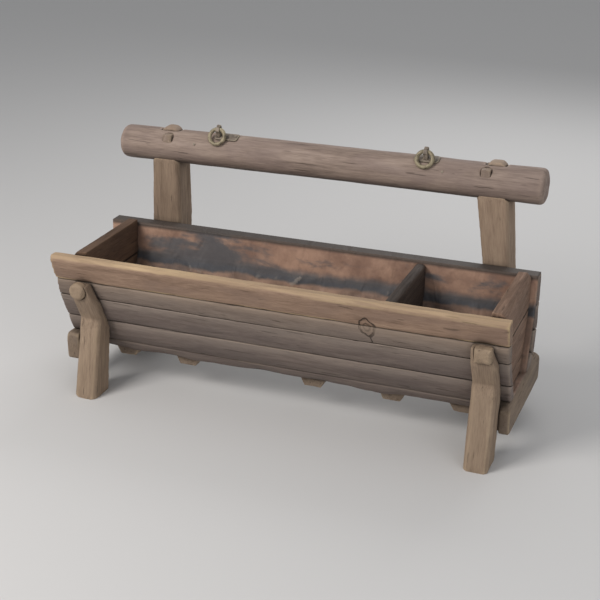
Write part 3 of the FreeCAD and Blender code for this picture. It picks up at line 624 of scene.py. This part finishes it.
def dents(points):
    """Shallow buckles and creases where the sheet has come away from the planks. They all point
    into the trough, and the lip and the sheet behind the back planks have none."""
    inward = SHEET_MIDDLE - points[:, 1:]
    inward /= np.linalg.norm(inward, axis=1)[:, None]
    broad = np.clip(field(points, (9, 2, 14), 41), 0, 1)
    small = np.clip(field(points, (30, 8, 34), 52) - 0.1, 0, 1)
    creases = np.clip(1 - 5 * np.abs(field(points, (15, 2, 7), 63)), 0, 1)
    creases *= np.clip(2.5 * broad, 0, 1)
    below = np.clip((UNDER_LIP - points[:, 2]) / 0.02, 0, 1)
    inside = np.clip((BACK_SHEET - points[:, 1]) / 0.01, 0, 1)
    push = (0.0055 * broad + 0.005 * small + 0.004 * creases) * below * inside
    points[:, 1:] += inward * push[:, None]


def liner():
    """The sheet, swept along X from its own outline in small faces and then dented."""
    profile = subdivided(end_outline("trough_liner"), SHEET_STEP)
    low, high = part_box("trough_liner")
    count = round((high.x - low.x) / SHEET_STEP)
    stations = [low.x + (high.x - low.x) * i / count for i in range(count + 1)]
    around = len(profile)
    points = [(x, y, z) for x in stations for y, z in profile]
    faces = [(i * around + j, i * around + (j + 1) % around,
              (i + 1) * around + (j + 1) % around, (i + 1) * around + j)
             for i in range(count) for j in range(around)]
    faces += [tuple(range(around))[::-1], tuple(count * around + j for j in range(around))]
    mesh = bpy.data.meshes.new("trough_liner_worn")
    mesh.from_pydata(points, [], faces)
    surface = Surface(mesh)
    dents(surface.points)
    surface.store()
    tidy = bmesh.new()
    tidy.from_mesh(mesh)
    bmesh.ops.recalc_face_normals(tidy, faces=tidy.faces)
    bmesh.ops.triangulate(tidy, faces=[f for f in tidy.faces if len(f.verts) > 4])
    tidy.to_mesh(mesh)
    tidy.free()
    surface = Surface(mesh)
    normals = surface.normals()
    core = surface.smoothed(surface.points, 10)
    bulge = np.einsum("ij,ij->i", surface.points - core, normals)
    surface.attribute("wear", np.clip(bulge / 0.0012, 0, 1))
    # How closed in each point is, for soiling and painted shade in the sheet's corners.
    surface.attribute("grime_and_shade", sheltered(surface, normals))
    mesh.shade_smooth()
    piece = link("trough_liner_worn", mesh)
    settle(piece, "trough_liner", sheet_metal("liner sheet", SHEET_KNEE, SHEET_FOLD, high.z))


liner()


# ---------------------------------------------------------------------------------- forged iron

IRON = iron("forged iron", "5b5147", "7d7165", "95887a")
RING_IRON = iron("ring iron", "655b49", "8c8169", "a69a80")
IRON_SEED = 60
NAIL_SEED = 70
for index, side in enumerate(("left", "right")):
    for node, voxel, material in ((f"{side}_tie_ring", 0.0014, RING_IRON),
                                  (f"{side}_ring_eye", 0.0012, IRON),
                                  (f"{side}_ring_plate", 0.0014, IRON)):
        piece = evenly_meshed(node, voxel)
        weather(piece, "X", IRON_SEED + index, wave=0.0004, hew=0.0003, worn_at=0.0007,
                moves=BODY_OF[node] != STILL_BODY)
        settle(piece, node, material)
nails = evenly_meshed("rail_nails", 0.0008)
weather(nails, "X", NAIL_SEED, wave=0.0001, hew=0.0001, rounding=1, worn_at=0.0004)
settle(nails, "rail_nails", IRON)


# --------------------------------------------------------------------------- floor, light, camera

def floor():
    mesh = bmesh.new()
    bmesh.ops.create_grid(mesh, x_segments=8, y_segments=8, size=12)
    data = bpy.data.meshes.new("floor")
    mesh.to_mesh(data)
    mesh.free()
    s = Shader("floor")
    s.surface.inputs["Base Color"].default_value = (0.62, 0.61, 0.6, 1)
    s.surface.inputs["Roughness"].default_value = 0.9
    data.materials.append(s.material)
    link("floor", data)


def lamp(name, place, aim, size, power, colour=(1, 1, 1)):
    light = bpy.data.lights.new(name, "AREA")
    light.size = size
    light.energy = power
    light.color = colour
    holder = bpy.data.objects.new(name, light)
    SCENE.collection.objects.link(holder)
    holder.location = place
    holder.rotation_euler = (Vector(aim) - Vector(place)).to_track_quat("-Z", "Y").to_euler()


def camera():
    data = bpy.data.cameras.new("camera")
    data.angle = math.radians(26.125)
    data.clip_start = 0.05
    holder = bpy.data.objects.new("camera", data)
    SCENE.collection.objects.link(holder)
    holder.location = (1.32567, -3.35623, 1.82690)
    holder.rotation_euler = (math.radians(90 - 22.769), 0, math.radians(21.407))
    SCENE.camera = holder


floor()
lamp("key", (-1.9, -2.6, 3.1), (0, 0, 0.4), 1.8, 112, (1, 0.97, 0.94))
lamp("fill", (2.8, -2.4, 1.6), (0, 0, 0.3), 2.5, 26, (0.95, 0.97, 1))
lamp("back", (0.4, 3.0, 2.6), (0, 0, 0.5), 2.5, 40)
world = bpy.data.worlds.new("studio")
world.use_nodes = True
world.node_tree.nodes["Background"].inputs["Color"].default_value = (0.9, 0.92, 0.95, 1)
world.node_tree.nodes["Background"].inputs["Strength"].default_value = 0.41
SCENE.world = world
SCENE.view_settings.view_transform = "Standard"
camera()
